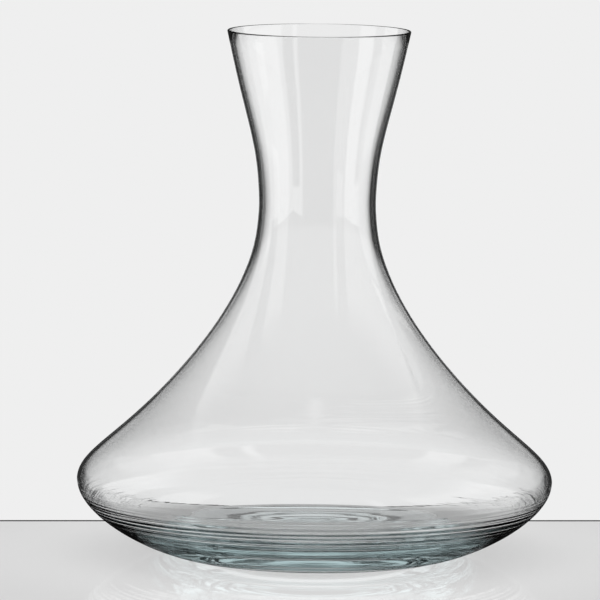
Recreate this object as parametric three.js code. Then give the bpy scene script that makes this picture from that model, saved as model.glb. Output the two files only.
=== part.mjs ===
import * as THREE from 'three';

// Wine decanter in clear glass: one blown vessel, a surface of revolution about Z.
// Millimetres, +Z up, origin on the axis in the plane that the foot stands on.
// The outer skin runs over five stations, foot, belly, shoulder, throat and mouth,
// with one cubic curve between each two. Angles are in degrees above the outward radius.

const HEIGHT = 227;
const FOOT_RADIUS = 60;
const BELLY_RADIUS = 103;
const BELLY_HEIGHT = 31.6;
const SHOULDER_RADIUS = 68.4;
const SHOULDER_HEIGHT = 68.9;
const THROAT_RADIUS = 25.3;
const THROAT_HEIGHT = 149.2;
const MOUTH_RADIUS = 39.6;

// Directions of the outer skin.
const UNDERSIDE_ANGLE = 12;
const SHOULDER_ANGLE = 134;
const MOUTH_ANGLE = 78;
const STRAIGHT_UP = 90;
const LEVEL = 0;

// How far each curve keeps to the direction at its two ends.
const UNDERSIDE_REACH = [18.6, 13];
const BELLY_REACH = [10, 30.6];
const SHOULDER_REACH = [23.1, 31.6];
const NECK_REACH = [29.4, 45];

// Thickness of the wall, square to the outer skin, and of the lip's round edge.
const BELLY_WALL = 1.4;
const SHOULDER_WALL = 1.1;
const THROAT_WALL = 1.1;
const MOUTH_WALL = 1;

// The thick bottom. Under it, a shallow hollow, nearly level in the middle. Inside,
// a low round pad, dished in the middle, whose rim drops to a groove in the heel.
const MIDDLE_RADIUS = 34;
const HOLLOW_RISE = 4.5;
const HOLLOW_EDGE_RISE = 3.5;
const RING_INNER_RADIUS = 57;
const PAD_HEIGHT = 12.4;
const PAD_RIM_RADIUS = 54;
const PAD_RIM_HEIGHT = 13.6;
const GROOVE_RADIUS = 66;
const GROOVE_HEIGHT = 7.5;

const HOLLOW_MIDDLE_ANGLE = -3;
const HOLLOW_SIDE_ANGLE = -9;
const RING_INNER_ANGLE = -8;
const DISH_ANGLE = 3;
const PAD_RIM_ANGLE = -5;
const GROOVE_ANGLE = 8;

const MIDDLE_REACH = [11, 11];
const SIDE_REACH = [7, 7];
const PAD_EDGE_REACH = [6, 5];
const HEEL_REACH = [12, 12];

// Fineness of the facets.
const SIDES = 64;
const HOLLOW_STEPS = 4;
const PAD_STEPS = 5;
const UNDERSIDE_STEPS = 8;
const BELLY_STEPS = 9;
const SHOULDER_STEPS = 6;
const NECK_STEPS = 6;
const LIP_STEPS = 4;

const GLASS_COLOUR = 0xe6f0ee;

function point(radius, height) {
  return new THREE.Vector2(radius, height);
}

function direction(degrees) {
  const angle = THREE.MathUtils.degToRad(degrees);
  return point(Math.cos(angle), Math.sin(angle));
}

// The cubic curve that leaves one station and enters the next at the given angles.
function curveBetween(start, startAngle, end, endAngle, [startReach, endReach]) {
  const startControl = direction(startAngle).multiplyScalar(startReach).add(start);
  const endControl = direction(endAngle).multiplyScalar(-endReach).add(end);
  return new THREE.CubicBezierCurve(start, startControl, endControl, end);
}

// The points of curves that follow one another, without a double point where they meet.
function pointsAlong(curves, steps) {
  return curves.flatMap((curve, index) => curve.getPoints(steps).slice(index === 0 ? 0 : 1));
}

// The inner skin beside one curve of the outer skin, as its wall goes from one
// thickness to another.
function innerSkin(curve, startWall, endWall, steps) {
  const points = [];
  for (let step = 0; step <= steps; step += 1) {
    const share = step / steps;
    const tangent = curve.getTangent(share);
    const inward = point(-tangent.y, tangent.x);
    const wall = THREE.MathUtils.lerp(startWall, endWall, share);
    points.push(curve.getPoint(share).addScaledVector(inward, wall));
  }
  return points;
}

// The lip's half round, from the outer skin over the top to the inner skin.
function lipRound(outerEdge, innerEdge) {
  const centre = outerEdge.clone().add(innerEdge).multiplyScalar(0.5);
  const points = [];
  for (let step = 1; step < LIP_STEPS; step += 1) {
    const turn = Math.PI * step / LIP_STEPS;
    points.push(outerEdge.clone().rotateAround(centre, turn));
  }
  return points;
}

function vesselOutline() {
  const lipRise = MOUTH_WALL / 2 * (1 + Math.cos(THREE.MathUtils.degToRad(MOUTH_ANGLE)));
  const foot = point(FOOT_RADIUS, 0);
  const belly = point(BELLY_RADIUS, BELLY_HEIGHT);
  const shoulder = point(SHOULDER_RADIUS, SHOULDER_HEIGHT);
  const throat = point(THROAT_RADIUS, THROAT_HEIGHT);
  const mouth = point(MOUTH_RADIUS, HEIGHT - lipRise);

  const ring = point(RING_INNER_RADIUS, 0);
  const hollowEdge = point(MIDDLE_RADIUS, HOLLOW_EDGE_RISE);
  const hollow = [
    curveBetween(point(0, HOLLOW_RISE), LEVEL, hollowEdge, HOLLOW_MIDDLE_ANGLE, MIDDLE_REACH),
    curveBetween(hollowEdge, HOLLOW_SIDE_ANGLE, ring, RING_INNER_ANGLE, SIDE_REACH),
  ];
  const underside = curveBetween(foot, UNDERSIDE_ANGLE, belly, STRAIGHT_UP, UNDERSIDE_REACH);
  const side = curveBetween(belly, STRAIGHT_UP, shoulder, SHOULDER_ANGLE, BELLY_REACH);
  const slope = curveBetween(shoulder, SHOULDER_ANGLE, throat, STRAIGHT_UP, SHOULDER_REACH);
  const neck = curveBetween(throat, STRAIGHT_UP, mouth, MOUTH_ANGLE, NECK_REACH);

  const neckInside = innerSkin(neck, THROAT_WALL, MOUTH_WALL, NECK_STEPS).reverse();
  const slopeInside = innerSkin(slope, SHOULDER_WALL, THROAT_WALL, SHOULDER_STEPS).reverse();
  const sideInside = innerSkin(side, BELLY_WALL, SHOULDER_WALL, BELLY_STEPS).reverse();

  const dishEdge = point(MIDDLE_RADIUS, PAD_HEIGHT);
  const padRim = point(PAD_RIM_RADIUS, PAD_RIM_HEIGHT);
  const groove = point(GROOVE_RADIUS, GROOVE_HEIGHT);
  const pad = [
    curveBetween(point(0, PAD_HEIGHT), LEVEL, dishEdge, LEVEL, MIDDLE_REACH),
    curveBetween(dishEdge, DISH_ANGLE, padRim, PAD_RIM_ANGLE, SIDE_REACH),
    curveBetween(padRim, PAD_RIM_ANGLE, groove, GROOVE_ANGLE, PAD_EDGE_REACH),
  ];
  const heel = curveBetween(groove, GROOVE_ANGLE, sideInside.at(-1), STRAIGHT_UP, HEEL_REACH);

  return [
    ...pointsAlong(hollow, HOLLOW_STEPS),
    ...pointsAlong([underside], UNDERSIDE_STEPS),
    ...pointsAlong([side], BELLY_STEPS).slice(1),
    ...pointsAlong([slope], SHOULDER_STEPS).slice(1),
    ...pointsAlong([neck], NECK_STEPS).slice(1),
    ...lipRound(mouth, neckInside[0]),
    ...neckInside,
    ...slopeInside.slice(1),
    ...sideInside.slice(1),
    ...pointsAlong([heel], UNDERSIDE_STEPS).reverse().slice(1),
    ...pointsAlong(pad, PAD_STEPS).reverse().slice(1),
  ];
}

function vessel() {
  const glass = new THREE.MeshStandardMaterial({
    color: GLASS_COLOUR,
    roughness: 0.03,
    metalness: 0,
    transparent: true,
    opacity: 0.3,
  });
  const geometry = new THREE.LatheGeometry(vesselOutline(), SIDES);
  geometry.rotateX(Math.PI / 2);
  const mesh = new THREE.Mesh(geometry, glass);
  mesh.name = 'glass_vessel';
  return mesh;
}

const decanter = new THREE.Group();
decanter.add(vessel());

export default decanter;
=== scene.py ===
"""A clear glass wine decanter on a pale gloss table.

The light is not the same all round. It is set for the azimuths 0, 45, 90 and 225, and from
others, such as 180 and 315, the neck and the shoulders come out nearly black.
"""
import math

import bmesh
import bpy
from mathutils import Euler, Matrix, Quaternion, Vector


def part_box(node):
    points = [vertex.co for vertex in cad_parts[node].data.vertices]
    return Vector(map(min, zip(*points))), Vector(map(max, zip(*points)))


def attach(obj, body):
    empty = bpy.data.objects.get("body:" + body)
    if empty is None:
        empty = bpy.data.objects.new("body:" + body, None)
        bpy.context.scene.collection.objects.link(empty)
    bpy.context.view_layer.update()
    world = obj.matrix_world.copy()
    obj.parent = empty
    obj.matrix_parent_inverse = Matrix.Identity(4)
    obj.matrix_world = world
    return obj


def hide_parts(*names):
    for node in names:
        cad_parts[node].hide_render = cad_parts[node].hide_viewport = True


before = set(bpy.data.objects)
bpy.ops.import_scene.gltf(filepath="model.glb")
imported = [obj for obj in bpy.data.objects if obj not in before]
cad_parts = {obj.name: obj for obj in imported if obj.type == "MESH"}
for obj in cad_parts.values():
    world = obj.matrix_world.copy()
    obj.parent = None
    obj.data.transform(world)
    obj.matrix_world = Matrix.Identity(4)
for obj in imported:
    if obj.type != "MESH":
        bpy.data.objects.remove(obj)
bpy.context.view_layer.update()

NODE = "glass_vessel"

# The object's greatest radius, from the frame, in metres.
LOW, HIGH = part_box(NODE)
RADIUS = (HIGH[0] - LOW[0]) / 2

# The fine surface: facets round the axis, and steps between two points of the CAD outline.
SIDES = 192
STEPS = 4
ON_AXIS = 1e-6

# The camera: far back, a little above the rim, and turned by a small roll.
CAMERA_DISTANCE = 2.8
CAMERA_HEIGHT = 0.433
AIM = Vector((-0.0071, 0.0, 0.110))
ROLL = math.radians(0.61)
HALF_VIEW = math.radians(2.636)

# The table: a slab with its back edge just behind the foot, and a dark strip along that edge, a
# painted shadow of the gap behind it.
# A smaller slab, a little below its top, stands in for it in mirrored light.
TABLE_BACK = 0.090
TABLE_FRONT = -0.40
TABLE_HALF_WIDTH = 0.45
TABLE_THICKNESS = 0.012
TABLE_TURN = math.radians(4.2)
TABLE_GAP = 0.0002
SHADOW_STRIP_WIDTH = 0.0035
SHADOW_STRIP_THICKNESS = 0.001
NEAR_HALF_WIDTH = 0.16
NEAR_DROP = 0.001


# ---------------------------------------------------------------- outline and surface

def cad_outline():
    """The CAD solid's outline in the plane through its axis, as (radius, height) points.

    It runs from the middle of the underside, round the outside, over the lip and down to the
    middle of the floor.
    """
    shape = bmesh.new()
    shape.from_mesh(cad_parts[NODE].data)
    bmesh.ops.remove_doubles(shape, verts=shape.verts, dist=ON_AXIS)
    on_axis = [v for v in shape.verts if math.hypot(v.co.x, v.co.y) < ON_AXIS]
    here, end = sorted(on_axis, key=lambda v: v.co.z)
    path = [here]
    while here is not end:
        ahead = [
            far for far in (edge.other_vert(here) for edge in here.link_edges)
            if abs(far.co.y) < ON_AXIS and (far.co.x > ON_AXIS or far is end) and far not in path
        ]
        here = ahead[0]
        path.append(here)
    points = [(v.co.x, v.co.z) for v in path]
    shape.free()
    return points


def hermite(start, end, start_slope, end_slope, share):
    """A point of the cubic curve between two values."""
    back = 1 - share
    return (
        start * back * back * (1 + 2 * share)
        + end * share * share * (3 - 2 * share)
        + start_slope * share * back * back
        - end_slope * share * share * back
    )


def fine_outline(points):
    """The same outline with a smooth curve through its points, level where it meets the axis."""
    points = [Vector(p) for p in points]
    slopes = [Vector((1, 0))]
    for before, after in zip(points, points[2:]):
        slopes.append((after - before).normalized())
    slopes.append(Vector((-1, 0)))
    fine = []
    for i in range(len(points) - 1):
        gap = (points[i + 1] - points[i]).length
        for step in range(STEPS):
            fine.append(hermite(
                points[i], points[i + 1], slopes[i] * gap, slopes[i + 1] * gap, step / STEPS,
            ))
    fine.append(points[-1])
    return [(max(p.x, 0.0), max(p.y, 0.0)) for p in fine]


def spun_mesh(name, outline):
    """A closed mesh of revolution about Z from an outline that starts and ends on the axis."""
    shape = bmesh.new()
    bottom = shape.verts.new((0, 0, outline[0][1]))
    rings = []
    for r, z in outline[1:-1]:
        ring = []
        for side in range(SIDES):
            turn = 2 * math.pi * side / SIDES
            ring.append(shape.verts.new((r * math.cos(turn), r * math.sin(turn), z)))
        rings.append(ring)
    top = shape.verts.new((0, 0, outline[-1][1]))
    for side in range(SIDES):
        after = (side + 1) % SIDES
        shape.faces.new((bottom, rings[0][after], rings[0][side]))
        for low, high in zip(rings, rings[1:]):
            shape.faces.new((low[side], low[after], high[after], high[side]))
        shape.faces.new((rings[-1][side], rings[-1][after], top))
    for face in shape.faces:
        face.smooth = True
    mesh = bpy.data.meshes.new(name)
    shape.to_mesh(mesh)
    shape.free()
    return mesh


# ---------------------------------------------------------------- node helpers

def new_material(name):
    material = bpy.data.materials.new(name)
    material.use_nodes = True
    nodes = material.node_tree.nodes
    return material, nodes, material.node_tree.links, nodes["Principled BSDF"]


def math_node(tree, operation, first, second=None, clamp=False):
    """A maths node fed by sockets or plain numbers; returns its output."""
    node = tree.nodes.new("ShaderNodeMath")
    node.operation = operation
    node.use_clamp = clamp
    for socket, value in zip(node.inputs, (first, second)):
        if value is None:
            continue
        if isinstance(value, bpy.types.NodeSocket):
            tree.links.new(value, socket)
        else:
            socket.default_value = value
    return node.outputs[0]


def ramp(tree, value, low, high, out_low=0.0, out_high=1.0):
    """A smooth step of a value from one range to another."""
    node = tree.nodes.new("ShaderNodeMapRange")
    node.interpolation_type = "SMOOTHSTEP"
    tree.links.new(value, node.inputs["Value"])
    node.inputs["From Min"].default_value = low
    node.inputs["From Max"].default_value = high
    node.inputs["To Min"].default_value = out_low
    node.inputs["To Max"].default_value = out_high
    return node.outputs["Result"]


def lerp(tree, first, second, share):
    """first where share is 0, second where it is 1; any of them a socket or a number."""
    back = math_node(tree, "SUBTRACT", 1.0, share)
    return math_node(
        tree, "ADD",
        math_node(tree, "MULTIPLY", first, back),
        math_node(tree, "MULTIPLY", second, share),
    )


def band(tree, value, low, high, soft):
    """1 between two values and 0 outside them, with soft edges."""
    return math_node(
        tree, "MULTIPLY",
        ramp(tree, value, low - soft, low + soft),
        ramp(tree, value, high + soft, high - soft),
    )


# ---------------------------------------------------------------- glass

IOR = 1.51
GLASS_TINT = (0.65, 0.86, 0.88, 1)
TINT_PER_METRE = 7.0

# Rings left on the heel, from the foot ring out and up to where the belly turns.
RIPPLE_START = 0.058
RIPPLE_FULL = 0.062
RIPPLE_FADE = 0.022
RIPPLE_TOP = 0.030
RIPPLES_PER_METRE = 350
RIPPLE_CLIMB = 1.7
RIPPLE_WANDER = 0.5
RIPPLE_DEPTH = 0.00004
# On the inner skin they are deeper towards the belly's wall.
COMB_START = 0.076
COMB_FULL = 0.092
COMB_DEPTH = 0.0005


def ring_noise(tree, x, y, z, radius):
    """Noise that changes fast along the skin and only slowly round the axis."""
    along = math_node(tree, "ADD", radius, math_node(tree, "MULTIPLY", z, RIPPLE_CLIMB))
    join = tree.nodes.new("ShaderNodeCombineXYZ")
    tree.links.new(math_node(tree, "MULTIPLY", along, RIPPLES_PER_METRE), join.inputs[0])
    off_axis = math_node(tree, "MAXIMUM", radius, 0.001)
    for axis, value in ((1, x), (2, y)):
        share = math_node(tree, "DIVIDE", value, off_axis)
        tree.links.new(math_node(tree, "MULTIPLY", share, RIPPLE_WANDER), join.inputs[axis])
    noise = tree.nodes.new("ShaderNodeTexNoise")
    noise.inputs["Scale"].default_value = 1.0
    noise.inputs["Detail"].default_value = 1.0
    tree.links.new(join.outputs[0], noise.inputs["Vector"])
    return noise.outputs[0]


def inner_skin(tree):
    """1 on the heel's inner skin, which faces up, and 0 on its outer skin, which faces down."""
    surface = tree.nodes.new("ShaderNodeNewGeometry")
    normal = tree.nodes.new("ShaderNodeSeparateXYZ")
    tree.links.new(surface.outputs["Normal"], normal.inputs[0])
    flipped = math_node(tree, "MULTIPLY", surface.outputs["Backfacing"], 2.0)
    side = math_node(tree, "SUBTRACT", 1.0, flipped)
    return ramp(tree, math_node(tree, "MULTIPLY", normal.outputs[2], side), -0.1, 0.1)


def glass_bump(tree):
    """Rings that the turning mould leaves on the heel, outside the foot ring."""
    place = tree.nodes.new("ShaderNodeTexCoord")
    split = tree.nodes.new("ShaderNodeSeparateXYZ")
    tree.links.new(place.outputs["Object"], split.inputs[0])
    x, y, z = split.outputs
    x_squared = math_node(tree, "MULTIPLY", x, x)
    y_squared = math_node(tree, "MULTIPLY", y, y)
    radius = math_node(tree, "SQRT", math_node(tree, "ADD", x_squared, y_squared))

    heel = math_node(
        tree, "MULTIPLY",
        ramp(tree, radius, RIPPLE_START, RIPPLE_FULL),
        ramp(tree, z, RIPPLE_TOP, RIPPLE_FADE),
    )
    inner_depth = ramp(tree, radius, COMB_START, COMB_FULL, 0.0, COMB_DEPTH)
    depth = lerp(tree, RIPPLE_DEPTH, inner_depth, inner_skin(tree))
    height = math_node(tree, "MULTIPLY", ring_noise(tree, x, y, z, radius), heel)

    bump = tree.nodes.new("ShaderNodeBump")
    bump.inputs["Strength"].default_value = 1.0
    bump.inputs["Distance"].default_value = 1.0
    tree.links.new(math_node(tree, "MULTIPLY", height, depth), bump.inputs["Height"])
    return bump.outputs[0]


def glass_material():
    material, nodes, links, shader = new_material("clear_glass")
    shader.inputs["Base Color"].default_value = (1, 1, 1, 1)
    shader.inputs["Transmission Weight"].default_value = 1.0
    shader.inputs["IOR"].default_value = IOR
    shader.inputs["Roughness"].default_value = 0.0
    links.new(glass_bump(material.node_tree), shader.inputs["Normal"])
    tint = nodes.new("ShaderNodeVolumeAbsorption")
    tint.inputs["Color"].default_value = GLASS_TINT
    tint.inputs["Density"].default_value = TINT_PER_METRE
    links.new(tint.outputs[0], nodes["Material Output"].inputs["Volume"])
    return material


def glass_vessel():
    mesh = spun_mesh("decanter_glass", fine_outline(cad_outline()))
    piece = bpy.data.objects.new("decanter_glass", mesh)
    bpy.context.scene.collection.objects.link(piece)
    mesh.materials.append(glass_material())
    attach(piece, "root")
    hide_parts(NODE)


# ---------------------------------------------------------------- table

# How pale the table is, seen directly, and in light mirrored inside the glass, where it is
# darker as a painted shade.
TABLE_TONE = 0.42
TABLE_PAINTED_SHADE_TONE = 0.08
TABLE_ROUGHNESS = 0.03
TABLE_GLOSS = 0.25
# The dark strip along the table's back edge is painted shadow.
SHADOW_STRIP_COLOUR = (0.02, 0.02, 0.02, 1)
SHADOW_STRIP_ROUGHNESS = 0.6

# The table's painted glow, an emission that stands in for studio light: far from the decanter,
# beside it, and lower under it as a painted shadow.
GLOW_FAR = 0.43
GLOW_BESIDE = 0.50
GLOW_IN_PAINTED_SHADOW = 0.22
FAR_FROM = 1.8 * RADIUS
PAINTED_SHADOW_UNDER_FOOT = (0.45 * RADIUS, 0.60 * RADIUS)
PAINTED_SHADOW_UNDER_BELLY = (0.85 * RADIUS, 1.15 * RADIUS)


def slab(name, material, half_width, back, front, thickness=TABLE_THICKNESS):
    """One box of the table, with its top just under the foot."""
    shape = bmesh.new()
    bmesh.ops.create_cube(shape, size=1.0)
    for v in shape.verts:
        v.co.x *= 2 * half_width
        v.co.y = v.co.y * (back - front) + (back + front) / 2
        v.co.z = (v.co.z - 0.5) * thickness - TABLE_GAP
    mesh = bpy.data.meshes.new(name)
    shape.to_mesh(mesh)
    shape.free()
    mesh.materials.append(material)
    piece = bpy.data.objects.new(name, mesh)
    piece.rotation_euler = Euler((0, 0, TABLE_TURN))
    bpy.context.scene.collection.objects.link(piece)
    return piece


def table_painted_glow(tree, path):
    """The table's painted glow by the distance from the axis, with a painted shadow under the
    decanter, a little less light seen through glass.
    """
    place = tree.nodes.new("ShaderNodeTexCoord")
    length = tree.nodes.new("ShaderNodeVectorMath")
    length.operation = "LENGTH"
    tree.links.new(place.outputs["Object"], length.inputs[0])
    distance = length.outputs["Value"]
    open_table = ramp(tree, distance, RADIUS, FAR_FROM, GLOW_BESIDE, GLOW_FAR)
    directly = ramp(tree, distance, *PAINTED_SHADOW_UNDER_FOOT)
    through_glass = ramp(tree, distance, *PAINTED_SHADOW_UNDER_BELLY)
    shade = lerp(tree, through_glass, directly, path.outputs["Is Camera Ray"])
    return lerp(tree, GLOW_IN_PAINTED_SHADOW, open_table, shade)


def table_gloss_painted_light():
    """A pale gloss with a painted glow of its own, and painted shade in light mirrored inside
    the glass.
    """
    material, nodes, links, shader = new_material("table_gloss_painted_light")
    tree = material.node_tree
    path = nodes.new("ShaderNodeLightPath")
    diffuse = math_node(tree, "MINIMUM", path.outputs["Diffuse Depth"], 1.0)
    mirrored = math_node(tree, "MINIMUM", path.outputs["Glossy Depth"], 1.0)
    not_diffuse = math_node(tree, "SUBTRACT", 1.0, diffuse)
    not_mirrored = math_node(tree, "SUBTRACT", 1.0, mirrored)

    pale = math_node(tree, "MAXIMUM", not_mirrored, diffuse)
    # Painted shade: in light mirrored inside the glass the table takes the dark tone.
    tone = lerp(tree, TABLE_PAINTED_SHADE_TONE, TABLE_TONE, pale)
    join = nodes.new("ShaderNodeCombineColor")
    for socket in join.inputs:
        links.new(tone, socket)
    links.new(join.outputs[0], shader.inputs["Base Color"])

    # Painted light: the emission stands in for light on the table, and its low level under the
    # decanter stands in for shadow.
    glow = math_node(tree, "MULTIPLY", table_painted_glow(tree, path), not_mirrored)
    glow = math_node(tree, "MULTIPLY", glow, not_diffuse)
    shader.inputs["Emission Color"].default_value = (1, 1, 1, 1)
    links.new(glow, shader.inputs["Emission Strength"])
    shader.inputs["Roughness"].default_value = TABLE_ROUGHNESS
    shader.inputs["Specular IOR Level"].default_value = TABLE_GLOSS
    return material


# Painted shadow: a dark strip where the gap behind the table lies in shade.
def painted_shadow_strip():
    material, _, _, shader = new_material("table_shadow_strip")
    shader.inputs["Base Color"].default_value = SHADOW_STRIP_COLOUR
    shader.inputs["Roughness"].default_value = SHADOW_STRIP_ROUGHNESS
    shader.inputs["Specular IOR Level"].default_value = 0.0
    return material


def table():
    """The slab that the decanter stands on, its stand-in for mirrored light, and the dark strip
    of painted shadow along its back edge.
    """
    gloss = table_gloss_painted_light()
    wide = slab("table", gloss, TABLE_HALF_WIDTH, TABLE_BACK, TABLE_FRONT)
    wide.visible_glossy = False
    near = slab("table_near", gloss, NEAR_HALF_WIDTH, TABLE_BACK, -NEAR_HALF_WIDTH)
    near.location.z = -NEAR_DROP
    near.visible_camera = False
    near.visible_diffuse = False
    near.visible_transmission = False
    near.visible_shadow = False
    shadow_strip_back = TABLE_BACK + SHADOW_STRIP_WIDTH
    slab("table_shadow_strip", painted_shadow_strip(), TABLE_HALF_WIDTH, shadow_strip_back, TABLE_BACK, SHADOW_STRIP_THICKNESS)


# ---------------------------------------------------------------- light

# Turns are clockwise from +Y, in degrees. Heights are the z of a direction of length 1.
BACKGROUND = 0.863
FILL = 0.86

# Light bent by the glass: pale panels with dark gaps, a bright band above and a ceiling.
# Each panel is straight behind the decanter for one of the azimuths 0, 225, 90 and 45. In
# the gaps between them the glass looks nearly black.
PANEL_TURNS = (0, 135, 270, 315)
PANEL_CORE = 3
PANEL_EDGE = 9
GAP_LEVEL = 0.02
UPPER_LEVEL = 0.85
UPPER_RISE = (0.03, 0.12)
CEILING_LEVEL = 1.0
CEILING_RISE = (0.45, 0.75)

# Light mirrored by the glass: two soft boxes on a dark base. Above the horizon a dark bar
# crosses each box, where the table would mirror it at the azimuths 90 and 225.
MIRROR_BASE = 0.04
MIRROR_BOX = 1.3
BOX_TURNS = ((-122, -55), (62, 149))
BAR_TURNS = ((-98, -82), (127, 143))
BOX_SOFTNESS = 2.5
BOX_TOP = (0.85, 0.6)
BAR_RISE = (-0.02, 0.01)

# Light mirrored on the glass's inside counts as mirrored after this many crossings of a
# skin, in full towards -Y and in part towards +Y.
CROSSINGS = 3.5
BEHIND_SHARE = 0.5
AHEAD = (0.05, -0.05)


def bands(tree, turn, spans):
    """1 within any of the spans of turn and 0 outside them, with soft edges."""
    first, second = (
        band(tree, turn, math.radians(low), math.radians(high), math.radians(BOX_SOFTNESS))
        for low, high in spans
    )
    return math_node(tree, "ADD", first, second)


def bent_light(tree, turn, z):
    """The level of light that the glass has bent."""
    core = math.cos(math.radians(PANEL_CORE))
    edge = math.cos(math.radians(PANEL_EDGE))
    on_panel = 0.0
    for side in PANEL_TURNS:
        off_side = math_node(tree, "SUBTRACT", turn, math.radians(side))
        bright = ramp(tree, math_node(tree, "COSINE", off_side), edge, core)
        on_panel = math_node(tree, "MAXIMUM", on_panel, bright)
    level = lerp(tree, GAP_LEVEL, BACKGROUND, on_panel)
    level = lerp(tree, level, UPPER_LEVEL, ramp(tree, z, *UPPER_RISE))
    return lerp(tree, level, CEILING_LEVEL, ramp(tree, z, *CEILING_RISE))


def mirrored_light(tree, turn, z):
    """The level of light that the glass has mirrored."""
    boxes = bands(tree, turn, BOX_TURNS)
    bars = math_node(tree, "MULTIPLY", bands(tree, turn, BAR_TURNS), ramp(tree, z, *BAR_RISE))
    boxes = math_node(tree, "MULTIPLY", boxes, math_node(tree, "SUBTRACT", 1.0, bars))
    boxes = math_node(tree, "MULTIPLY", boxes, ramp(tree, z, *BOX_TOP))
    return lerp(tree, MIRROR_BASE, MIRROR_BOX, boxes)


def mirrored_share(tree, path, y):
    """How far a ray counts as mirrored."""
    once = math_node(tree, "COMPARE", path.outputs["Glossy Depth"], 1.0)
    crossed = math_node(tree, "GREATER_THAN", path.outputs["Transmission Depth"], CROSSINGS)
    inside = math_node(tree, "MULTIPLY", once, crossed)
    inside = math_node(tree, "MULTIPLY", inside, ramp(tree, y, *AHEAD, BEHIND_SHARE, 1.0))
    share = math_node(tree, "MAXIMUM", path.outputs["Is Reflection Ray"], inside)
    not_diffuse = math_node(tree, "SUBTRACT", 1.0, path.outputs["Is Diffuse Ray"])
    return math_node(tree, "MULTIPLY", share, not_diffuse)


def studio():
    """A pale room that shows its panels and boxes only in the glass and the table."""
    world = bpy.data.worlds.new("studio")
    bpy.context.scene.world = world
    world.use_nodes = True
    tree = world.node_tree
    place = tree.nodes.new("ShaderNodeTexCoord")
    split = tree.nodes.new("ShaderNodeSeparateXYZ")
    tree.links.new(place.outputs["Generated"], split.inputs[0])
    x, y, z = split.outputs
    turn = math_node(tree, "ARCTAN2", x, y)
    path = tree.nodes.new("ShaderNodeLightPath")

    bent = bent_light(tree, turn, z)
    mirrored = mirrored_light(tree, turn, z)
    level = lerp(tree, bent, mirrored, mirrored_share(tree, path, y))
    diffuse = math_node(tree, "MINIMUM", path.outputs["Diffuse Depth"], 1.0)
    level = lerp(tree, level, FILL, diffuse)
    level = lerp(tree, level, BACKGROUND, path.outputs["Is Camera Ray"])
    background = tree.nodes["Background"]
    tree.links.new(level, background.inputs["Strength"])
    background.inputs["Color"].default_value = (1, 1, 1, 1)


# ---------------------------------------------------------------- camera and render

def camera():
    data = bpy.data.cameras.new("camera")
    data.sensor_width = 36.0
    data.angle = 2 * HALF_VIEW
    data.clip_end = 50.0
    piece = bpy.data.objects.new("camera", data)
    bpy.context.scene.collection.objects.link(piece)
    piece.location = (0, -CAMERA_DISTANCE, CAMERA_HEIGHT)
    look = (AIM - piece.location).to_track_quat("-Z", "Y")
    piece.rotation_mode = "QUATERNION"
    piece.rotation_quaternion = look @ Quaternion((0, 0, 1), ROLL)
    bpy.context.scene.camera = piece


def render_settings():
    """Plain colours, and enough bounces for the thick glass."""
    scene = bpy.context.scene
    scene.view_settings.view_transform = "Standard"
    scene.cycles.max_bounces = 32
    scene.cycles.transmission_bounces = 32
    scene.cycles.glossy_bounces = 12
    scene.cycles.sample_clamp_indirect = 6.0


glass_vessel()
table()
studio()
camera()
render_settings()

bpy.context.view_layer.update()
